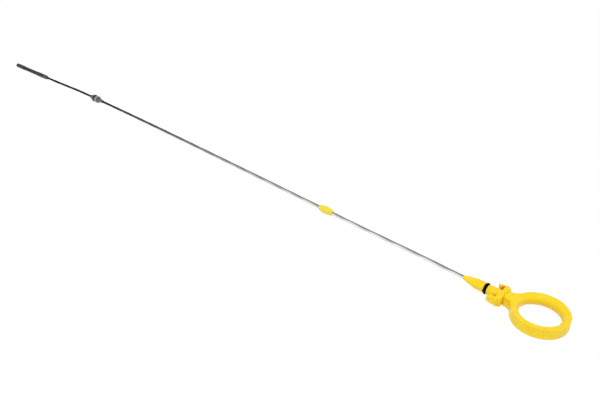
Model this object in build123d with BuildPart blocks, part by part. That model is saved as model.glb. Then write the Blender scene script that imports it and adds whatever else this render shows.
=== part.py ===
from build123d import *
import os
from math import cos, degrees, radians, sin, tan

# Engine oil dipstick lying flat. The origin is on the stem's axis at the front shoulder of the seal groove,
# +X runs along the stem towards the gauge tip and +Z is up. All lengths are in millimetres.

# Finger ring and neck
ring_bore_d = 28.5
ring_outer_d = 40.0
handle_thickness = 9.2
ring_bore_round = 4.3
rim_round = 1.0
neck_width = 8.4
neck_length = 5.4
neck_straight = 0.7

# Stem, seal groove and nose
stem_d = 7.9
stem_length = 9.4
neck_gap = 0.4
plug_length = 7.6
nose_length = 10.2
nose_lip = 0.25

# Saddle: a bar across the stem, rounder towards the ring, which carries the snap arms
saddle_thickness = 4.2
saddle_height = 9.2
saddle_inset = 1.4
saddle_corner = 2.0
saddle_back_round = 1.2
saddle_front_round = 0.9

# Snap arms, one each side of the stem, with room for the tube and hooks that reach in behind its lip
tube_room = 3.85
arm_thickness = 2.0
arm_length = 5.9
arm_setback = 1.7
arm_root_height = 7.8
arm_end_height = 4.8
arm_end_thickness = 1.1
arm_shoulder_round = 1.2
arm_outer_round = 0.8
hook_length = 3.2
hook_reach = 1.4
hook_lead = 2.4

# Rubber seal and how far it stands out of its groove
seal_section_d = 2.2
seal_proud = 0.65
groove_width = 2.8

# Steel wire and the upset head that the stem is moulded over
wire_d = 2.8
wire_fit = 0.02
head_step = 0.7
head_length = 4.0
wire_in_handle = 27.0
wire_in_tip = 30.0

# Free lengths of wire, and how far each one bows sideways at its far end
upper_span = 133.0
middle_span = 379.0
lower_span = 119.6
upper_bow = 0.58
middle_bow = 4.63
lower_bow = 1.72
bow_lead = 4.0

# Guide bead
bead_length = 15.6
bead_d = 6.8
bead_lip = 0.8
bead_end_round = 1.0

# Lower guide: a cone, two ridges with a groove between them, and a sleeve
guide_d = 9.0
guide_cone_length = 10.8
guide_cone_d = 6.6
guide_lip = 0.3
guide_ridge = 3.6
guide_groove = 3.4
guide_groove_d = 4.6
guide_sleeve_length = 6.4
guide_sleeve_wall = 1.1
guide_ridge_round = 1.1

# Gauge tip: two wide ends with the narrower reading zone between them
tip_d = 5.8
tip_zone_d = 5.2
tip_lip = 0.3
tip_entry_length = 4.5
tip_upper_length = 24.0
tip_zone_length = 40.0
tip_lower_length = 22.6
tip_zone_step = 0.8
tip_end_round = 1.3

# The most of a wall that the rounds on its edges take
round_share = 0.48

# Stations along the stem
groove_back = -groove_width
saddle_front = groove_back - stem_length
saddle_back = saddle_front - saddle_thickness
neck_end = saddle_back - neck_gap
neck_root = neck_end - neck_length
ring_center = neck_root - ring_outer_d / 2
nose_end = plug_length + nose_length
head_end = nose_end - wire_in_handle
wire_r = wire_d / 2
wire_bore_r = wire_r + wire_fit
head_r = wire_r + head_step
seal_outer_r = stem_d / 2 + seal_proud
groove_floor_r = seal_outer_r - seal_section_d
arm_inner = stem_d / 2 + tube_room
arm_outer = arm_inner + arm_thickness

# Heights of the wire where the bead, the lower guide and the tip rest on the same surface as the ring
floor_z = -handle_thickness / 2
bead_z = floor_z + bead_d / 2
guide_z = floor_z + guide_d / 2
tip_z = floor_z + tip_d / 2
guide_length = guide_cone_length + 2 * guide_ridge + guide_groove + guide_sleeve_length


# Level direction at an angle from the stem's axis, towards +Y
def level_run(angle):
    return Vector(cos(radians(angle)), sin(radians(angle)), 0)


# The turn of a free length whose far end stands that far to the side: two equal bends at a quarter and at
# three quarters of its length move the end by half the turn times the length
def bow_turn(bow, span):
    return degrees(2 * bow / span)


# A free length of wire leaves one piece level, bends at a quarter and at three quarters of its length, and
# meets the next piece level. Returns its two corners and its far end.
def free_span(start, angle, end_angle, span, end_z):
    first = start + level_run(angle) * (span / 4)
    slope = level_run((angle + end_angle) / 2) * (span / 2)
    second = first + Vector(slope.X, slope.Y, end_z - start.Z)
    return first, second, second + level_run(end_angle) * (span / 4)


bead_angle = bow_turn(upper_bow, upper_span)
guide_angle = bead_angle + bow_turn(middle_bow, middle_span)
tip_angle = guide_angle + bow_turn(lower_bow, lower_span)
bead_run = level_run(bead_angle)
guide_run = level_run(guide_angle)
tip_run = level_run(tip_angle)
nose_point = Vector(nose_end, 0, 0)
upper_a, upper_b, bead_start = free_span(nose_point, 0, bead_angle, upper_span, bead_z)
bead_stop = bead_start + bead_run * bead_length
middle_a, middle_b, guide_start = free_span(bead_stop, bead_angle, guide_angle, middle_span, guide_z)
guide_stop = guide_start + guide_run * guide_length
lower_a, lower_b, tip_start = free_span(guide_stop, guide_angle, tip_angle, lower_span, tip_z)
wire_route = [
    Vector(head_end, 0, 0),
    upper_a,
    upper_b,
    middle_a,
    middle_b,
    lower_a,
    lower_b,
    tip_start + tip_run * wire_in_tip,
]
bend_spans = [upper_span, upper_span, middle_span, middle_span, lower_span, lower_span]


# The widest bend at each corner that leaves a straight lead beside each piece
def bend_radius(before, corner, after, span):
    turn = (corner - before).get_angle(after - corner)
    return (span / 4 - bow_lead) / tan(radians(turn) / 2)


# Half sections of the pieces on the wire are drawn with X along the wire and Y away from it
def section_plane(start, run):
    return Plane(origin=start, x_dir=run, z_dir=(0, 0, 1))


os.makedirs("parts", exist_ok=True)

# Saddle: a bar that ends inside the outer faces of the arms, with its back edges rounder than its front ones
with BuildPart() as saddle:
    saddle_width = 2 * (arm_outer - saddle_inset)
    saddle_round_limit = round_share * saddle_thickness
    with BuildSketch(Plane.YZ.offset(saddle_back)):
        RectangleRounded(saddle_width, saddle_height, min(saddle_corner, round_share * saddle_height))
    extrude(amount=saddle_thickness)
    fillet(saddle.faces().sort_by(Axis.X)[0].edges(), radius=min(saddle_back_round, saddle_round_limit))
    fillet(saddle.faces().sort_by(Axis.X)[-1].edges(), radius=min(saddle_front_round, saddle_round_limit))

# Snap arms: the plan of one arm with its hook, rooted in the saddle, tapered towards its end and mirrored
with BuildPart() as clip:
    arm_root = saddle_back + arm_setback
    arm_tip = saddle_front + arm_length
    hook_back = arm_tip - hook_length
    with BuildSketch() as arm_plan:
        with BuildLine():
            Polyline(
                (arm_root, arm_inner),
                (hook_back, arm_inner),
                (hook_back, arm_inner - hook_reach),
                (arm_tip - hook_lead, arm_inner - hook_reach),
                (arm_tip, arm_outer - arm_end_thickness),
                (arm_tip, arm_outer),
                (arm_root, arm_outer),
                close=True,
            )
        make_face()
        shoulder = arm_plan.vertices().group_by(Axis.Y)[-1].sort_by(Axis.X)[0]
        fillet(shoulder, radius=min(arm_shoulder_round, 2 * round_share * arm_thickness))
    extrude(amount=arm_root_height / 2, both=True)
    with BuildSketch(Plane.XZ):
        with BuildLine():
            Polyline(
                (arm_root, arm_root_height / 2),
                (arm_tip, arm_end_height / 2),
                (arm_tip, -arm_end_height / 2),
                (arm_root, -arm_root_height / 2),
                close=True,
            )
        make_face()
    extrude(amount=arm_outer, both=True, mode=Mode.INTERSECT)
    arm_faces = clip.faces().sort_by(Axis.Z)
    outer_edges = (arm_faces[0].edges() + arm_faces[-1].edges()).group_by(Axis.Y)[-1]
    fillet(outer_edges, radius=min(arm_outer_round, 2 * round_share * arm_end_thickness))
    mirror(about=Plane.XZ)
    add(saddle.part)

# Handle: ring and neck in one plan, then the turned stem, the saddle with its arms and the space for the wire
with BuildPart() as handle:
    ring_outer_r = ring_outer_d / 2
    ring_wall = (ring_outer_d - ring_bore_d) / 2
    neck_half = neck_width / 2
    neck_reach = ring_outer_r + neck_length
    flare_start = neck_reach - neck_straight
    flare_r = (flare_start**2 / (ring_outer_r - neck_half) - ring_outer_r - neck_half) / 2
    flare_end = Vector(flare_start, neck_half + flare_r) * (ring_outer_r / (ring_outer_r + flare_r))
    with BuildSketch(Plane((ring_center, 0, 0))):
        Circle(ring_outer_r)
        with BuildLine():
            neck_front = Line((neck_reach, -neck_half), (neck_reach, neck_half))
            left_side = Line(neck_front @ 1, (flare_start, neck_half))
            left_flare = TangentArc(left_side @ 1, (flare_end.X, flare_end.Y), tangent=left_side % 1)
            right_side = Line(neck_front @ 0, (flare_start, -neck_half))
            right_flare = TangentArc(right_side @ 1, (flare_end.X, -flare_end.Y), tangent=right_side % 1)
            Line(left_flare @ 1, right_flare @ 1)
        make_face()
    extrude(amount=handle_thickness / 2, both=True)
    rim_edges = handle.faces().filter_by(Axis.Z).edges().sort_by(Axis.X)[:-2]
    rim_fillet = min(rim_round, round_share * ring_wall)
    fillet(rim_edges, radius=rim_fillet)
    with Locations((ring_center, 0, 0)):
        Hole(ring_bore_d / 2)
    bore_edges = handle.edges(Select.LAST).filter_by(GeomType.CIRCLE)
    bore_round_limit = min(round_share * handle_thickness, 2 * round_share * ring_wall - rim_fillet)
    fillet(bore_edges, radius=min(ring_bore_round, bore_round_limit))
    with BuildSketch():
        with BuildLine():
            Polyline(
                (neck_root, 0),
                (neck_root, stem_d / 2),
                (groove_back, stem_d / 2),
                (groove_back, groove_floor_r),
                (0, groove_floor_r),
                (0, stem_d / 2),
                (plug_length, stem_d / 2),
                (nose_end, wire_r + nose_lip),
                (nose_end, 0),
                close=True,
            )
        make_face()
    revolve(axis=Axis.X)
    add(clip.part)
    with BuildSketch(Plane.YZ.offset(nose_end)):
        Circle(wire_bore_r)
    extrude(amount=-wire_in_handle, mode=Mode.SUBTRACT)
    with BuildSketch(Plane.YZ.offset(head_end - wire_fit)):
        Circle(head_r + wire_fit)
    extrude(amount=head_length + 2 * wire_fit, mode=Mode.SUBTRACT)
handle.part.label = "handle"
export_step(handle.part, "parts/handle.step")

# Rubber seal, seated on the floor of the groove
with BuildPart() as o_ring:
    with BuildSketch():
        with Locations((groove_back / 2, seal_outer_r - seal_section_d / 2)):
            Circle(seal_section_d / 2)
    revolve(axis=Axis.X)
o_ring.part.label = "o_ring"
export_step(o_ring.part, "parts/o_ring.step")

# Steel wire, swept along its route, with the upset head at the end that is inside the handle
with BuildPart() as gauge_wire:
    with BuildLine() as route:
        corners = zip(wire_route, wire_route[1:], wire_route[2:], bend_spans)
        FilletPolyline(*wire_route, radius=[bend_radius(*corner) for corner in corners])
    with BuildSketch(Plane.YZ.offset(head_end)):
        Circle(wire_r)
    sweep(path=route.line)
    with BuildSketch(Plane.YZ.offset(head_end)):
        Circle(head_r)
    extrude(amount=head_length)
gauge_wire.part.label = "gauge_wire"
export_step(gauge_wire.part, "parts/gauge_wire.step")

# Guide bead: a barrel on the wire, fullest at its middle
with BuildPart() as guide_bead:
    with BuildSketch(section_plane(bead_start, bead_run)) as bead_section:
        with BuildLine():
            barrel = ThreePointArc(
                (0, wire_bore_r + bead_lip),
                (bead_length / 2, bead_d / 2),
                (bead_length, wire_bore_r + bead_lip),
            )
            Polyline(barrel @ 1, (bead_length, wire_bore_r), (0, wire_bore_r), barrel @ 0)
        make_face()
        bead_rims = bead_section.vertices().group_by(Axis.Y)[-1]
        fillet(bead_rims, radius=min(bead_end_round, 2 * round_share * bead_lip))
    revolve(axis=Axis(bead_start, bead_run))
guide_bead.part.label = "guide_bead"
export_step(guide_bead.part, "parts/guide_bead.step")

# Lower guide: turned section from the thin end of the cone to the end of the sleeve
with BuildPart() as lower_guide:
    ridge_a = guide_cone_length
    groove_a = ridge_a + guide_ridge
    groove_b = groove_a + guide_groove
    ridge_b = groove_b + guide_ridge
    with BuildSketch(section_plane(guide_start, guide_run)) as guide_section:
        with BuildLine():
            Polyline(
                (0, wire_bore_r),
                (0, wire_bore_r + guide_lip),
                (ridge_a, guide_cone_d / 2),
                (ridge_a, guide_d / 2),
                (groove_a, guide_d / 2),
                (groove_a, guide_groove_d / 2),
                (groove_b, guide_groove_d / 2),
                (groove_b, guide_d / 2),
                (ridge_b, guide_d / 2),
                (ridge_b, wire_bore_r + guide_sleeve_wall),
                (guide_length, wire_bore_r + guide_sleeve_wall),
                (guide_length, wire_bore_r),
                close=True,
            )
        make_face()
        ridge_rims = guide_section.vertices().group_by(Axis.Y)[-1]
        fillet(ridge_rims, radius=min(guide_ridge_round, round_share * guide_ridge))
    revolve(axis=Axis(guide_start, guide_run))
lower_guide.part.label = "lower_guide"
export_step(lower_guide.part, "parts/lower_guide.step")

# Gauge tip: turned section with the narrower reading zone between its two wide ends
with BuildPart() as gauge_tip:
    zone_start = tip_entry_length + tip_upper_length
    zone_end = zone_start + tip_zone_length
    tip_length = zone_end + tip_lower_length
    with BuildSketch(section_plane(tip_start, tip_run)) as tip_section:
        with BuildLine():
            Polyline(
                (0, wire_bore_r),
                (0, wire_bore_r + tip_lip),
                (tip_entry_length, tip_d / 2),
                (zone_start, tip_d / 2),
                (zone_start + tip_zone_step, tip_zone_d / 2),
                (zone_end - tip_zone_step, tip_zone_d / 2),
                (zone_end, tip_d / 2),
                (tip_length, tip_d / 2),
                (tip_length, 0),
                (wire_in_tip + wire_fit, 0),
                (wire_in_tip + wire_fit, wire_bore_r),
                close=True,
            )
        make_face()
        tip_rim = tip_section.vertices().group_by(Axis.X)[-1].sort_by(Axis.Y)[-1]
        fillet(tip_rim, radius=min(tip_end_round, round_share * tip_d))
    revolve(axis=Axis(tip_start, tip_run))
gauge_tip.part.label = "gauge_tip"
export_step(gauge_tip.part, "parts/gauge_tip.step")
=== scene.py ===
import math

import bpy
import numpy as np
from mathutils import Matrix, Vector


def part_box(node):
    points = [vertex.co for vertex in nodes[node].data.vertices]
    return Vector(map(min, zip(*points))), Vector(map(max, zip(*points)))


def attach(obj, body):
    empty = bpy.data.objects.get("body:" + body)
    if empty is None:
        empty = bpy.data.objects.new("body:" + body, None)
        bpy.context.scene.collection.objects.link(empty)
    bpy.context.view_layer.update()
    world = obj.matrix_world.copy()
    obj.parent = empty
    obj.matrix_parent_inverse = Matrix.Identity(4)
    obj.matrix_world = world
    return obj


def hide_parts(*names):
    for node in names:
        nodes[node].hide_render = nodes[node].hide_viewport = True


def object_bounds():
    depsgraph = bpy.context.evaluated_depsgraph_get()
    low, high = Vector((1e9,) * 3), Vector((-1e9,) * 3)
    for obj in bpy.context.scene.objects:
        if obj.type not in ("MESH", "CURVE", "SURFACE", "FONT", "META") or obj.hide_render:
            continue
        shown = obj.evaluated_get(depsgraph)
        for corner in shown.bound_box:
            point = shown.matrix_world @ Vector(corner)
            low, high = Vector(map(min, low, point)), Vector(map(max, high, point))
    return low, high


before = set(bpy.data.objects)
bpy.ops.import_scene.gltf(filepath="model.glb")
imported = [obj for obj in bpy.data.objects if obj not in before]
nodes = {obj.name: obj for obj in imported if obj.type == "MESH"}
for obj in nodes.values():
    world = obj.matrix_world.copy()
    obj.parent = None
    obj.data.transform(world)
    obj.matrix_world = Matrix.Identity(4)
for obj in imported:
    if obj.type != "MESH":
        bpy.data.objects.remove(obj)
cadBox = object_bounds()
objectMiddle = (cadBox[0] + cadBox[1]) / 2
mm = 0.001  # the pieces' sizes are written in millimetres, the stage's in metres
sharpFrom = 40.0  # degrees: a fold sharper than this shows as an edge
noiseLow, noiseHigh = 0.3, 0.7  # a noise pattern's values mostly lie between these
print("frame:", len(nodes), "solids loaded")


# sRGB hex to linear light, alpha 1
def hexColour(code):
    srgb = np.array([int(code[i:i + 2], 16) for i in (1, 3, 5)]) / 255
    linear = np.where(srgb <= 0.04045, srgb / 12.92, ((srgb + 0.055) / 1.055) ** 2.4)
    return (*linear.tolist(), 1.0)


# one node: settings are its own properties, values go on its inputs, links feed its inputs, ramp sets a
# ramp's stops, the two outer ones first
def addNode(tree, kind, values=(), links=(), ramp=(), **settings):
    node = tree.nodes.new(kind)
    for key, setting in settings.items():
        setattr(node, key, setting)
    for socket, value in dict(values).items():
        node.inputs[socket].default_value = value
    for socket, source in dict(links).items():
        tree.links.new(source, node.inputs[socket])
    for place, (position, colour) in enumerate(ramp):
        stops = node.color_ramp.elements
        stop = stops[place] if place < 2 else stops.new(position)
        stop.position = position
        stop.color = colour
    return node


def newMaterial(name):
    material = bpy.data.materials.new(name)
    material.use_nodes = True
    material.node_tree.nodes.clear()
    return material


# rings is (along, around, 3), each ring turning from n to b with n x b along the piece; the rings join up
# end to end, or a pole closes each end
def skin(name, rings, poles=None):
    along, around = rings.shape[:2]
    points = rings.reshape(-1, 3)
    step = np.arange(around)
    after = (step + 1) % around
    first = np.arange(along if poles is None else along - 1)[:, None] * around
    second = (first + around) % (along * around)
    quads = np.stack([first + step, first + after, second + after, second + step], axis=2).reshape(-1, 4)
    faces = quads.tolist()
    if poles is not None:
        last = (along - 1) * around
        points = np.vstack([points, poles])
        startPole = np.full(around, along * around)
        faces += np.stack([startPole, after, step], axis=1).tolist()
        faces += np.stack([startPole + 1, last + step, last + after], axis=1).tolist()
    mesh = bpy.data.meshes.new(name)
    mesh.from_pydata(points.tolist(), [], faces)
    mesh.shade_smooth()
    mesh.set_sharp_from_angle(angle=math.radians(sharpFrom))
    piece = bpy.data.objects.new(name, mesh)
    bpy.context.scene.collection.objects.link(piece)
    return piece


# an outline whose corners are turned into arcs of the given radii: each arc starts where its tangent length
# leaves the corner, and long straights are cut into steps
def roundedOutline(corners, radii, step, arcSteps=7, closed=False):
    corners = np.array(corners, float)
    before = np.roll(corners, 1, axis=0) - corners
    after = np.roll(corners, -1, axis=0) - corners
    stretches = []
    for corner, back, ahead, radius in zip(corners, before, after, radii):
        if radius == 0:
            stretches.append(corner[None])
            continue
        back = back / np.linalg.norm(back)
        ahead = ahead / np.linalg.norm(ahead)
        half = math.acos(np.clip(back @ ahead, -1, 1)) / 2
        middle = (back + ahead) / np.linalg.norm(back + ahead)
        centre = corner + middle * radius / math.sin(half)
        start = corner + back * radius / math.tan(half) - centre
        across = -middle * radius
        swing = math.pi / 2 - half
        turn = np.linspace(-swing, swing, arcSteps)[:, None]
        side = (start - across * math.cos(swing)) / math.sin(swing)
        stretches.append(centre + across * np.cos(turn) - side * np.sin(turn))
    line = np.vstack(stretches + ([stretches[0][:1]] if closed else []))
    spans = np.linalg.norm(np.diff(line, axis=0), axis=1)
    counts = np.maximum(np.ceil(spans / step), 1).astype(int)
    places = np.concatenate([np.arange(n) / n + i for i, n in enumerate(counts)])
    if not closed:
        places = np.append(places, len(line) - 1)
    order = np.arange(len(line))
    return np.stack([np.interp(places, order, line[:, 0]), np.interp(places, order, line[:, 1])], axis=1)


# a solid's vertices, one row each
def vertexRows(nodeName):
    vertices = nodes[nodeName].data.vertices
    rows = np.empty(len(vertices) * 3)
    vertices.foreach_get("co", rows)
    return rows.reshape(-1, 3)


# Centre line of the wire: its solid is a string of vertex rings, so the vertices sorted along x fall into
# groups wherever x jumps, and the middle of each group's box is a point of the line
def ringBoxes(nodeName, jump):
    rows = vertexRows(nodeName)
    rows = rows[np.argsort(rows[:, 0])]
    starts = np.flatnonzero(np.diff(rows[:, 0], prepend=-np.inf) > jump)
    return np.minimum.reduceat(rows, starts), np.maximum.reduceat(rows, starts)


ringLow, ringHigh = ringBoxes("gauge_wire", jump=0.3 * mm)
linePoints = (ringLow + ringHigh) / 2
wireR = (ringHigh[-1, 2] - ringLow[-1, 2]) / 2


# the line is straight from each point to the next, and its last run goes on into the tip: position and
# direction at each x
def wireLine(x):
    x = np.atleast_1d(x)
    k = np.clip(np.searchsorted(linePoints[:, 0], x) - 1, 0, len(linePoints) - 2)
    run = linePoints[k + 1] - linePoints[k]
    share = (x - linePoints[k, 0]) / run[:, 0]
    return linePoints[k] + run * share[:, None], run / np.linalg.norm(run, axis=1)[:, None]


# rings round a line: at each centre the angle runs from the level side (+Y) up to +Z, at the given radius
def ringsRound(centres, headings, angles, radii):
    side = np.cross([0, 0, 1], headings)
    side /= np.linalg.norm(side, axis=1)[:, None]
    up = np.cross(headings, side)
    across = np.cos(angles)[..., None] * side[:, None] + np.sin(angles)[..., None] * up[:, None]
    return centres[:, None] + across * radii[..., None]


# where a piece lies on the wire: its first point on the straight axis through its middle, the axis's
# direction, and the piece's length along it
def seatOnWire(nodeName):
    low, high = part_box(nodeName)
    middle, heading = wireLine((low.x + high.x) / 2)
    reach = (vertexRows(nodeName) - middle[0]) @ heading[0]
    return middle[0] + heading[0] * reach.min(), heading[0], reach.max() - reach.min()


# a half section (along, out) turned about an axis, with an optional change of radius over the surface
def turned(name, outline, start, heading, around, relief=None, poles=None):
    angles = np.tile(np.linspace(0, 2 * math.pi, around, endpoint=False), (len(outline), 1))
    radii = np.repeat(outline[:, 1:], around, axis=1)
    if relief is not None:
        radii = radii + relief(outline[:, :1], angles)
    centres = start + outline[:, :1] * heading
    headings = np.tile(heading, (len(outline), 1))
    ends = None if poles is None else start + np.array(poles)[:, None] * heading
    return skin(name, ringsRound(centres, headings, angles, radii), ends)


def dress(piece, material, nodeName):
    piece.data.materials.append(material)
    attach(piece, "root")
    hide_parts(nodeName)
    print("piece:", piece.name, len(piece.data.polygons), "faces")


# Moulded polyamide: pigment all through, a satin skin with the grain of a spark-eroded mould, drawn coarser
# than the real one so that it shows. It gives the eye a full even colour that drifts a little with the flow,
# soft highlights, a faint parting line, and a painted warm shade deep between walls. Bands of colour may lie
# on it along its length: old oil, and on the lower guide also painted highlights and painted shade.
def mouldedPolyamide(name, finish):
    material = newMaterial(name)
    tree = material.node_tree
    place = addNode(tree, "ShaderNodeTexCoord")
    flow = addNode(
        tree, "ShaderNodeTexNoise",
        {"Scale": 1 / (finish["flow"] * mm), "Detail": 3.0, "Roughness": 0.55},
        {"Vector": place.outputs["Object"]},
    )
    grain = addNode(
        tree, "ShaderNodeTexNoise",
        {"Scale": 1 / (finish["grain"] * mm), "Detail": 2.0, "Roughness": 0.6},
        {"Vector": place.outputs["Object"]},
    )
    tint = addNode(
        tree, "ShaderNodeValToRGB", links={"Fac": flow.outputs["Fac"]},
        ramp=[(noiseLow, hexColour(finish["shade"])), (noiseHigh, hexColour(finish["colour"]))],
    )
    gloss = addNode(
        tree, "ShaderNodeMapRange",
        {"From Min": noiseLow, "From Max": noiseHigh, "To Min": finish["smooth"], "To Max": finish["rough"]},
        {"Value": grain.outputs["Fac"]},
    )
    skinBump = addNode(
        tree, "ShaderNodeBump",
        {"Strength": finish["bump"], "Distance": finish["grain"] * mm / 4},  # a quarter as deep as wide
        {"Height": grain.outputs["Fac"]},
    )
    colour, normal = tint.outputs["Color"], skinBump.outputs["Normal"]
    # bands of colour along x: old oil and wear, and on the lower guide also painted highlights and painted
    # shade
    if "alongColours" in finish:
        reach = addNode(tree, "ShaderNodeSeparateXYZ", links={"Vector": place.outputs["Object"]})
        share = addNode(
            tree, "ShaderNodeMapRange",
            {"From Min": finish["alongFrom"] * mm, "From Max": finish["alongTo"] * mm},
            {"Value": reach.outputs["X"]},
        )
        toneAlong = addNode(
            tree, "ShaderNodeValToRGB", links={"Fac": share.outputs["Result"]},
            ramp=[(spot, hexColour(code)) for spot, code in finish["alongColours"]],
        )
        banded = addNode(
            tree, "ShaderNodeMix", {0: finish["alongCover"]}, {6: colour, 7: toneAlong.outputs["Color"]},
            data_type="RGBA",
        )
        colour = banded.outputs[2]
    if "paintedWarmShade" in finish:  # painted warm shade: in narrow places the colour turns orange, as light gone from wall to wall would turn it
        shutAt, openAt = finish["paintedWarmShadeRange"]
        openness = addNode(
            tree, "ShaderNodeAmbientOcclusion", {"Distance": finish["paintedWarmShadeReach"] * mm},
            samples=8, only_local=True,
        )
        shut = addNode(
            tree, "ShaderNodeMapRange",
            {"From Min": shutAt, "From Max": openAt, "To Min": 1.0, "To Max": 0.0},
            {"Value": openness.outputs["AO"]},
        )
        warmed = addNode(
            tree, "ShaderNodeMix", {7: hexColour(finish["paintedWarmShade"])}, {0: shut.outputs["Result"], 6: colour},
            data_type="RGBA",
        )
        colour = warmed.outputs[2]
    if "parting" in finish:  # a thin raised line at mid height, where the mould's halves met
        height = addNode(tree, "ShaderNodeSeparateXYZ", links={"Vector": place.outputs["Object"]})
        away = addNode(tree, "ShaderNodeMath", links={0: height.outputs["Z"]}, operation="ABSOLUTE")
        line = addNode(
            tree, "ShaderNodeMapRange",
            {"From Min": 0.0, "From Max": finish["parting"] * mm, "To Min": 1.0, "To Max": 0.0},
            {"Value": away.outputs[0]}, interpolation_type="SMOOTHSTEP",
        )
        faint = addNode(
            tree, "ShaderNodeMath", {1: finish["partingTint"]}, {0: line.outputs["Result"]},
            operation="MULTIPLY",
        )
        lined = addNode(
            tree, "ShaderNodeMix", {7: hexColour(finish["shade"])},
            {0: faint.outputs[0], 6: colour}, data_type="RGBA",
        )
        ridge = addNode(
            tree, "ShaderNodeBump",
            {"Strength": finish["partingBump"], "Distance": finish["partingRise"] * mm},
            {"Height": line.outputs["Result"], "Normal": normal},
        )
        colour, normal = lined.outputs[2], ridge.outputs["Normal"]
    surface = addNode(
        tree, "ShaderNodeBsdfPrincipled", {"IOR": 1.53, "Specular IOR Level": finish["shine"]},
        {"Base Color": colour, "Roughness": gloss.outputs["Result"], "Normal": normal},
    )
    addNode(tree, "ShaderNodeOutputMaterial", links={"Surface": surface.outputs["BSDF"]})
    return material


# Moulded nitrile rubber: carbon-black filled, smooth from a polished mould. It gives the eye a deep black
# with a broad soft sheen and a trace of dust.
def nitrileRubber(name, finish):
    material = newMaterial(name)
    tree = material.node_tree
    place = addNode(tree, "ShaderNodeTexCoord")
    bloom = addNode(
        tree, "ShaderNodeTexNoise", {"Scale": 1 / (finish["bloom"] * mm), "Detail": 4.0},
        {"Vector": place.outputs["Object"]},
    )
    clean, dusty = finish["dustRange"]
    tint = addNode(
        tree, "ShaderNodeValToRGB", links={"Fac": bloom.outputs["Fac"]},
        ramp=[(clean, hexColour(finish["colour"])), (dusty, hexColour(finish["dust"]))],
    )
    gloss = addNode(
        tree, "ShaderNodeMapRange", {"To Min": finish["smooth"], "To Max": finish["rough"]},
        {"Value": bloom.outputs["Fac"]},
    )
    bump = addNode(
        tree, "ShaderNodeBump", {"Strength": finish["bump"], "Distance": finish["bumpDepth"] * mm},
        {"Height": bloom.outputs["Fac"]},
    )
    surface = addNode(
        tree, "ShaderNodeBsdfPrincipled", {"IOR": 1.52, "Specular IOR Level": finish["shine"]},
        {
            "Base Color": tint.outputs["Color"], "Roughness": gloss.outputs["Result"],
            "Normal": bump.outputs["Normal"],
        },
    )
    addNode(tree, "ShaderNodeOutputMaterial", links={"Surface": surface.outputs["BSDF"]})
    return material


# Drawn spring steel, twisted: bright towards the handle, with draw lines along it, coarser than the real ones
# so that they show. It gives the eye light and dark facets that wind round, and it darkens and dulls towards
# the gauge tip.
def drawnSteel(name, finish):
    material = newMaterial(name)
    tree = material.node_tree
    place = addNode(tree, "ShaderNodeTexCoord")
    alongScale, acrossScale = 1 / (finish["lineLength"] * mm), 1 / (finish["lineWidth"] * mm)
    stretched = addNode(
        tree, "ShaderNodeMapping", {"Scale": (alongScale, acrossScale, acrossScale)},
        {"Vector": place.outputs["Object"]},
    )
    lines = addNode(
        tree, "ShaderNodeTexNoise", {"Scale": 1.0, "Detail": 3.0}, {"Vector": stretched.outputs["Vector"]},
    )
    patches = addNode(
        tree, "ShaderNodeTexNoise", {"Scale": 1 / (finish["patch"] * mm), "Detail": 4.0},
        {"Vector": place.outputs["Object"]},
    )
    reach = addNode(tree, "ShaderNodeSeparateXYZ", links={"Vector": place.outputs["Object"]})
    ragged = addNode(
        tree, "ShaderNodeMath", {1: finish["ragged"] * mm},
        {0: patches.outputs["Fac"], 2: reach.outputs["X"]}, operation="MULTIPLY_ADD",
    )
    toneAlong = addNode(
        tree, "ShaderNodeMapRange",
        {"From Min": finish["darkFrom"] * mm, "From Max": finish["darkFull"] * mm},
        {"Value": ragged.outputs[0]},
    )
    tint = addNode(
        tree, "ShaderNodeValToRGB", links={"Fac": toneAlong.outputs["Result"]},
        ramp=[(spot, hexColour(code)) for spot, code in finish["alongColours"]],
    )
    gloss = addNode(
        tree, "ShaderNodeMapRange",
        {"From Min": noiseLow, "From Max": noiseHigh, "To Min": finish["smooth"], "To Max": finish["rough"]},
        {"Value": lines.outputs["Fac"]},
    )
    dulled = addNode(
        tree, "ShaderNodeMath", {1: finish["dull"]}, {0: toneAlong.outputs["Result"], 2: gloss.outputs["Result"]},
        operation="MULTIPLY_ADD",
    )
    bump = addNode(
        tree, "ShaderNodeBump",
        {"Strength": finish["bump"], "Distance": finish["lineWidth"] * mm / 5},  # a fifth as deep as wide
        {"Height": lines.outputs["Fac"]},
    )
    surface = addNode(
        tree, "ShaderNodeBsdfPrincipled", {"Metallic": 1.0, "Specular Tint": hexColour(finish["edge"])},
        {
            "Base Color": tint.outputs["Color"], "Roughness": dulled.outputs[0],
            "Normal": bump.outputs["Normal"],
        },
    )
    addNode(tree, "ShaderNodeOutputMaterial", links={"Surface": surface.outputs["BSDF"]})
    return material


# bands of colour along a piece: dark bands of old oil, paler where the tube has rubbed it off, and on the
# lower guide pale bands of painted highlight and dark bands of painted shade over its ridges. A band is an
# edge on the piece, how far past it in millimetres, and what lies there, the two ends first; its place on the
# ramp is a share of the piece's length
def colourBands(finish, start, edges):
    startX, length = start[0] / mm, edges["end"]
    alongColours = [((edges[edge] + past) / length, finish[shade]) for edge, past, shade in finish["bands"]]
    return {**finish, "alongColours": alongColours, "alongFrom": startX, "alongTo": startX + length}


# Handle: the solid's own shape, in yellow polyamide with the mould's parting line at mid height and a painted
# warm shade deep between its walls
handle = {
    "finish": {
        "colour": "#FDDD20", "shade": "#F9D314", "flow": 9.0, "grain": 0.4, "smooth": 0.34, "rough": 0.48,
        "shine": 0.38, "bump": 0.06, "parting": 0.16, "partingTint": 0.35, "partingBump": 0.6,
        # the orange tint deep between walls is painted shade, warmed as light going from wall to wall would
        # warm it
        "partingRise": 0.048, "paintedWarmShade": "#FFBE04", "paintedWarmShadeReach": 5.0, "paintedWarmShadeRange": (0.3, 0.72),
    },
}
handleSurface = mouldedPolyamide("yellow polyamide, spark-eroded mould", handle["finish"])
nodes["handle"].data.materials.clear()
nodes["handle"].data.materials.append(handleSurface)
print("piece: handle keeps its solid")

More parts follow.
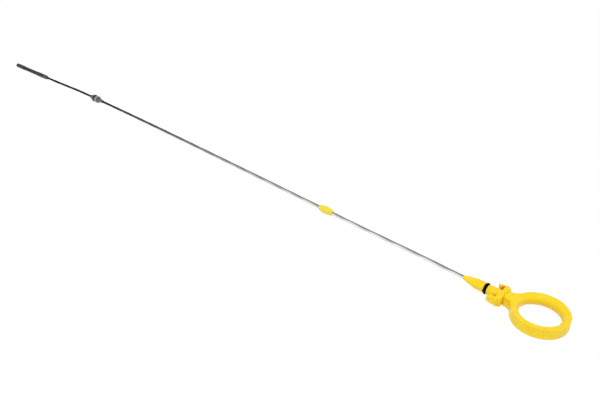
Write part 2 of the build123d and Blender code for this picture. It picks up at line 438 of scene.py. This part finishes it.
# Seal: a torus on the groove's floor, with the thin flash line of its mould round its widest edge
seal = {
    "around": 96, "acrossSteps": 32, "flash": 0.04, "flashWidth": 0.12,
    "finish": {
        "colour": "#020203", "dust": "#080809", "dustRange": (0.35, 0.75), "bloom": 0.8, "smooth": 0.35,
        "rough": 0.5, "shine": 0.08, "bump": 0.2, "bumpDepth": 0.02,
    },
}


# ring radius plus section radius times the cosine, and the section's sine along the stem; the section is
# drawn back in by the flash's height, so that the flash ends where the solid does
def makeSeal():
    low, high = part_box("o_ring")
    sectionR = (high.x - low.x) / 2
    middleR = high.z - sectionR
    turn = np.linspace(0, 2 * math.pi, seal["acrossSteps"], endpoint=False)[::-1] + math.pi
    flash = seal["flash"] * mm * np.exp(-((np.sin(turn) * sectionR / (seal["flashWidth"] * mm)) ** 2))
    swell = sectionR + np.where(np.cos(turn) > 0, flash, 0) - flash.max()
    outline = np.stack([sectionR + swell * np.sin(turn), middleR + swell * np.cos(turn)], axis=1)
    start = np.array([low.x, 0.0, 0.0])
    piece = turned("oRing", outline, start, np.array([1.0, 0.0, 0.0]), seal["around"])
    dress(piece, nitrileRubber("nitrile rubber, moulded", seal["finish"]), "o_ring")


makeSeal()

# Wire: a square bar with round corners, twisted evenly from end to end, with a round head inside the stem
wire = {
    "power": 2.9, "pitch": 104.0, "step": 1.2, "around": 32, "phase": 20.0,
    "finish": {
        # colours along x: bright at the handle end, dark towards the gauge tip; the darkening runs between
        # the two distances below, with a ragged front
        "alongColours": [
            (0.0, "#EAECE8"), (1.0, "#1E221A"), (0.27, "#BEC3BD"), (0.5, "#8A908A"), (0.72, "#5A605A"),
        ],
        "darkFrom": 160.0, "darkFull": 680.0, "ragged": 50.0, "edge": "#3C3E3B", "dull": 0.5, "patch": 7.0,
        "lineLength": 18.0, "lineWidth": 0.2, "bump": 0.25, "smooth": 0.1, "rough": 0.22,
    },
}


# section radius = half side / (|cos|^p + |sin|^p)^(1/p), with its corners on the solid's round, turned by the
# twist at each x and carried along the line
def makeWire():
    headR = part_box("gauge_wire")[1].z
    power = wire["power"]
    halfSide = wireR / 2 ** (0.5 - 1 / power)
    headStart, headEnd, farEnd = linePoints[0, 0], linePoints[1, 0], linePoints[-1, 0]
    stations = np.linspace(headEnd, farEnd, round((farEnd - headEnd) / (wire["step"] * mm)))
    x = np.concatenate([[headStart, headEnd], stations])
    turn = np.linspace(0, 2 * math.pi, wire["around"], endpoint=False)
    section = halfSide / (np.abs(np.cos(turn)) ** power + np.abs(np.sin(turn)) ** power) ** (1 / power)
    radii = np.tile(section, (len(x), 1))
    radii[:2] = headR
    twist = 2 * math.pi * x / (wire["pitch"] * mm) + math.radians(wire["phase"])
    centres, headings = wireLine(x)
    rings = ringsRound(centres, headings, turn + twist[:, None], radii)
    piece = skin("gaugeWire", rings, centres[[0, -1]])
    surface = drawnSteel("spring steel, drawn and twisted", wire["finish"])
    dress(piece, surface, "gauge_wire")


makeWire()

# Guide bead: a barrel moulded on the wire, with a shallow seam along it where the mould halves met
bead = {
    "lip": 0.8, "endRound": 0.76, "fit": 0.02, "steps": 60, "around": 144,
    "seamAngle": 60.0, "seamDepth": 0.3, "seamWidth": 0.45,
    "finish": {
        "colour": "#F8E03C", "shade": "#F4DA30", "flow": 6.0, "grain": 0.4, "smooth": 0.34, "rough": 0.48,
        "shine": 0.4, "bump": 0.06,
    },
}


# barrel radius = an arc through both ends and the middle, less a quarter round at each end; the bore closes
# it, and the seam is a bell-shaped groove on opposite sides
def makeBead():
    start, heading, length = seatOnWire("guide_bead")
    low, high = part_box("guide_bead")
    boreR = wireR + bead["fit"] * mm
    rimR, fullR = boreR + bead["lip"] * mm, (high.z - low.z) / 2
    rise = fullR - rimR
    arcR = (length**2 / 4 + rise**2) / (2 * rise)
    along = length * (1 - np.cos(np.linspace(0, math.pi, bead["steps"]))) / 2
    arc = np.sqrt(arcR**2 - (along - length / 2) ** 2) + fullR - arcR
    endRound = bead["endRound"] * mm
    near = np.clip(np.minimum(along, length - along) / endRound, 0, 1)
    barrel = arc - endRound * (1 - np.sqrt(1 - (1 - near) ** 2))
    bore = np.stack([[length, 0], [boreR, boreR]], axis=1)
    outline = np.vstack([np.stack([along, barrel], axis=1), bore])

    def seam(s, angle):
        off = np.abs((angle - math.radians(bead["seamAngle"]) + math.pi / 2) % math.pi - math.pi / 2)
        outside = np.concatenate([np.ones(len(along)), [0, 0]])[:, None]
        return -bead["seamDepth"] * mm * outside * np.exp(-((off * fullR / (bead["seamWidth"] * mm)) ** 2))

    piece = turned("guideBead", outline, start, heading, bead["around"], seam)
    surface = mouldedPolyamide("yellow polyamide, moulded on the wire", bead["finish"])
    dress(piece, surface, "guide_bead")


makeBead()

# Lower guide: cone, two ridges with a groove between them, and a sleeve towards the tip; its bands of colour
# hold painted highlights and painted shade as well as old oil
guide = {
    "coneLength": 10.8, "coneEnd": 3.3, "coneLip": 0.3, "ridge": 3.6, "groove": 3.4, "grooveR": 2.3,
    "sleeveWall": 1.1, "fit": 0.02, "ridgeRound": 1.1, "rootRound": 0.35, "endRound": 0.3, "lipRound": 0.15,
    "step": 0.6, "around": 96,
    "finish": {
        "colour": "#868A82", "shade": "#6E736A", "flow": 3.0, "grain": 0.4, "smooth": 0.1, "rough": 0.2,
        "shine": 1.0, "bump": 0.15, "alongCover": 0.9,
        "paintedHighlight": "#969D93", "worn": "#565648", "paintedShade": "#3A4438", "oilAndShade": "#1E241A",
        # pale bands are painted highlights; the dark film before the first ridge and the dark band over the
        # second ridge are painted shade; the ends carry wear and old oil
        "bands": [
            ("start", 0, "worn"), ("end", 0, "oilAndShade"), ("ridges", -5, "worn"), ("ridges", -3, "paintedShade"),
            ("ridges", -0.2, "paintedShade"), ("ridges", 0.3, "paintedHighlight"), ("grooveEnd", -0.6, "paintedHighlight"),
            ("grooveEnd", -0.3, "oilAndShade"), ("ridgesEnd", -0.1, "oilAndShade"), ("ridgesEnd", 0.2, "paintedHighlight"),
            ("ridgesEnd", 1.4, "paintedHighlight"), ("ridgesEnd", 2.2, "oilAndShade"),
        ],
    },
}


# the half section's corners, each rounded, turned about the wire
def makeGuide():
    start, heading, length = seatOnWire("lower_guide")
    low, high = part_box("lower_guide")
    ridgeR = (high.z - low.z) / 2 / mm
    grooveR = guide["grooveR"]
    boreR = wireR / mm + guide["fit"]
    sleeveR = boreR + guide["sleeveWall"]
    end = length / mm
    ridges = guide["coneLength"]
    grooveStart = ridges + guide["ridge"]
    grooveEnd = grooveStart + guide["groove"]
    ridgesEnd = grooveEnd + guide["ridge"]
    rim, root = guide["ridgeRound"], guide["rootRound"]
    corners = [
        (0, boreR), (0, boreR + guide["coneLip"]), (ridges, guide["coneEnd"]), (ridges, ridgeR),
        (grooveStart, ridgeR), (grooveStart, grooveR), (grooveEnd, grooveR), (grooveEnd, ridgeR),
        (ridgesEnd, ridgeR), (ridgesEnd, sleeveR), (end, sleeveR), (end, boreR),
    ]
    radii = [0, guide["lipRound"], root, rim, rim, root, root, rim, rim, root, guide["endRound"], 0]
    outline = roundedOutline(corners, radii, guide["step"], closed=True) * mm
    piece = turned("lowerGuide", outline, start, heading, guide["around"])
    edges = {"start": 0, "ridges": ridges, "grooveEnd": grooveEnd, "ridgesEnd": ridgesEnd, "end": end}
    finish = colourBands(guide["finish"], start, edges)
    surface = mouldedPolyamide("grey polyamide, moulded on the wire", finish)
    dress(piece, surface, "lower_guide")


makeGuide()

# Gauge tip: two wide ends and the narrower reading zone, cut with a fine cross-hatch that holds the oil
tip = {
    "lip": 0.3, "lipRound": 0.15, "fit": 0.02, "entry": 4.5, "upper": 24.0, "zone": 40.0, "zoneR": 2.6,
    "zoneStep": 0.8, "wireIn": 30.0, "endRound": 1.3, "endFlatR": 0.4, "edgeRound": 0.5, "step": 0.3,
    "around": 120, "hatchStarts": 12, "hatchLead": 16.0, "hatchDepth": 0.14, "hatchWidth": 0.22,
    "hatchMargin": 2.0,
    "finish": {
        "colour": "#2E332A", "shade": "#22271F", "flow": 4.0, "grain": 0.45, "smooth": 0.28, "rough": 0.45,
        "shine": 0.2, "bump": 0.3, "alongCover": 0.85, "worn": "#5C5D50", "oilAndShade": "#1C2118",
        "bands": [("start", 0, "worn"), ("end", 0, "oilAndShade"), ("entry", 0, "worn"), ("entry", 4, "oilAndShade")],
    },
}


# the half section turned about the wire; in the zone two families of helical grooves cross each other, each
# groove a bell shape across its line
def makeTip():
    start, heading, length = seatOnWire("gauge_tip")
    low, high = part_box("gauge_tip")
    wideR = (high.z - low.z) / 2 / mm
    zoneR, zoneStep = tip["zoneR"], tip["zoneStep"]
    boreR = wireR / mm + tip["fit"]
    bottom = tip["wireIn"] + tip["fit"]
    end, entry = length / mm, tip["entry"]
    zoneStart = entry + tip["upper"]
    zoneEnd = zoneStart + tip["zone"]
    edge = tip["edgeRound"]
    corners = [
        (bottom, boreR), (0, boreR), (0, boreR + tip["lip"]), (entry, wideR), (zoneStart, wideR),
        (zoneStart + zoneStep, zoneR), (zoneEnd - zoneStep, zoneR), (zoneEnd, wideR),
        (end, wideR), (end, tip["endFlatR"]),
    ]
    radii = [0, 0, tip["lipRound"], edge, edge, edge, edge, edge, tip["endRound"], 0]
    outline = roundedOutline(corners, radii, tip["step"]) * mm

    def hatch(s, angle):
        x = s / mm
        # the grooves start half a margin inside the zone and are full after one margin more
        inZone = np.clip(np.minimum(x - zoneStart, zoneEnd - x) / tip["hatchMargin"] - 0.5, 0, 1)
        outside = (np.arange(len(x)) > np.argmin(np.abs(x[:, 0])))[:, None]
        grooves = np.zeros(angle.shape)
        for way in (1, -1):
            phase = tip["hatchStarts"] * (angle + way * 2 * math.pi * x / tip["hatchLead"])
            off = np.abs((phase + math.pi) % (2 * math.pi) - math.pi) / tip["hatchStarts"] * zoneR
            grooves = np.maximum(grooves, np.exp(-((off / tip["hatchWidth"]) ** 2)))
        return -tip["hatchDepth"] * mm * inZone * outside * grooves

    piece = turned("gaugeTip", outline, start, heading, tip["around"], hatch, (bottom * mm, length))
    edges = {"start": 0, "entry": entry, "end": end}
    finish = colourBands(tip["finish"], start, edges)
    dress(piece, mouldedPolyamide("dark polyamide, oily", finish), "gauge_tip")


makeTip()

# Floor: matt white paper. What the camera and reflections see of it is mostly its own white, the rest is lit
# paper, so it stays white and still takes the object's shadow. Far out it is all white and has no horizon.
floor = {"half": 6.0, "paper": "#EDEDEC", "ownWhite": 0.92, "white": 1.03, "fadeFrom": 0.5, "fadeTo": 2.0}


def makeFloor(height):
    half = floor["half"]
    mesh = bpy.data.meshes.new("floor")
    corners = [(-half, -half, height), (half, -half, height), (half, half, height), (-half, half, height)]
    mesh.from_pydata(corners, [], [(0, 1, 2, 3)])
    sheet = bpy.data.objects.new("floor", mesh)
    bpy.context.scene.collection.objects.link(sheet)
    material = newMaterial("white paper, matt")
    tree = material.node_tree
    rays = addNode(tree, "ShaderNodeLightPath")
    seen = rays.outputs["Is Camera Ray"]
    for ray in ("Is Glossy Ray", "Is Transmission Ray"):
        either = addNode(tree, "ShaderNodeMath", links={0: seen, 1: rays.outputs[ray]}, operation="MAXIMUM")
        seen = either.outputs[0]
    place = addNode(tree, "ShaderNodeTexCoord")
    away = addNode(
        tree, "ShaderNodeVectorMath", {1: objectMiddle}, {0: place.outputs["Object"]}, operation="DISTANCE",
    )
    ownWhite = addNode(
        tree, "ShaderNodeMapRange",
        {
            "From Min": floor["fadeFrom"], "From Max": floor["fadeTo"],
            "To Min": floor["ownWhite"], "To Max": 1.0,
        },
        {"Value": away.outputs["Value"]},
    )
    share = addNode(
        tree, "ShaderNodeMath", links={0: seen, 1: ownWhite.outputs["Result"]}, operation="MULTIPLY",
    )
    lit = addNode(tree, "ShaderNodeBsdfDiffuse", {"Color": hexColour(floor["paper"])})
    white = addNode(tree, "ShaderNodeEmission", {"Strength": floor["white"]})
    mixed = addNode(
        tree, "ShaderNodeMixShader", links={0: share.outputs[0], 1: lit.outputs[0], 2: white.outputs[0]},
    )
    addNode(tree, "ShaderNodeOutputMaterial", links={"Surface": mixed.outputs[0]})
    mesh.materials.append(material)


handleLow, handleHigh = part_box("handle")
makeFloor(handleLow.z)

# Studio: white all round at eye level, dimmer overhead, and one wide soft lamp above on the camera's side
studio = {
    "horizon": 1.0, "overhead": 0.3, "bandTop": 0.1, "bandEnd": 0.75,
    "lampPlace": (-0.1, 0.3, 1.5), "lampSize": (1.8, 1.2), "lampPower": 19.1,
}


def makeStudio():
    world = bpy.data.worlds.new("studio")
    world.use_nodes = True
    tree = world.node_tree
    tree.nodes.clear()
    place = addNode(tree, "ShaderNodeTexCoord")
    direction = addNode(tree, "ShaderNodeSeparateXYZ", links={"Vector": place.outputs["Generated"]})
    level = addNode(
        tree, "ShaderNodeMapRange",
        {
            "From Min": studio["bandTop"], "From Max": studio["bandEnd"],
            "To Min": studio["horizon"], "To Max": studio["overhead"],
        },
        {"Value": direction.outputs["Z"]}, interpolation_type="SMOOTHSTEP",
    )
    sky = addNode(
        tree, "ShaderNodeBackground", {"Color": (1.0, 1.0, 1.0, 1.0)}, {"Strength": level.outputs["Result"]},
    )
    addNode(tree, "ShaderNodeOutputWorld", links={"Surface": sky.outputs["Background"]})
    bpy.context.scene.world = world
    lamp = bpy.data.lights.new("softbox", "AREA")
    lamp.shape = "RECTANGLE"
    lamp.size, lamp.size_y = studio["lampSize"]
    lamp.energy = studio["lampPower"]
    softbox = bpy.data.objects.new("softbox", lamp)
    softbox.location = studio["lampPlace"]
    softbox.rotation_euler = (objectMiddle - softbox.location).to_track_quat("-Z", "Y").to_euler()
    softbox.visible_glossy = False  # mirrored in bright steel it would burn out to white
    bpy.context.scene.collection.objects.link(softbox)


makeStudio()
print("stage: floor, studio light")

# Camera: stands behind the ring and to its near side, and looks down along the wire; its place is in
# millimetres from the ring's centre
shot = {
    "lens": 35.4, "sensor": 36.0, "nearest": 10.0, "fromRing": (-104.9, 337.1, 273.0),
    "heading": (0.7098, -0.7044), "down": 30.15,
}


def makeCamera():
    ringR = (handleHigh.y - handleLow.y) / 2
    ringCentre = Vector((handleLow.x + ringR, 0, 0))
    eye = bpy.data.cameras.new("camera")
    eye.lens = shot["lens"]
    eye.sensor_width = shot["sensor"]
    eye.clip_start = shot["nearest"] * mm
    camera = bpy.data.objects.new("camera", eye)
    camera.location = ringCentre + Vector(shot["fromRing"]) * mm
    level = Vector((*shot["heading"], 0)).normalized()
    down = math.radians(shot["down"])
    look = level * math.cos(down) - Vector((0, 0, math.sin(down)))
    camera.rotation_euler = look.to_track_quat("-Z", "Y").to_euler()
    bpy.context.scene.collection.objects.link(camera)
    bpy.context.scene.camera = camera


makeCamera()
bpy.context.scene.view_settings.view_transform = "Standard"
print("camera set")
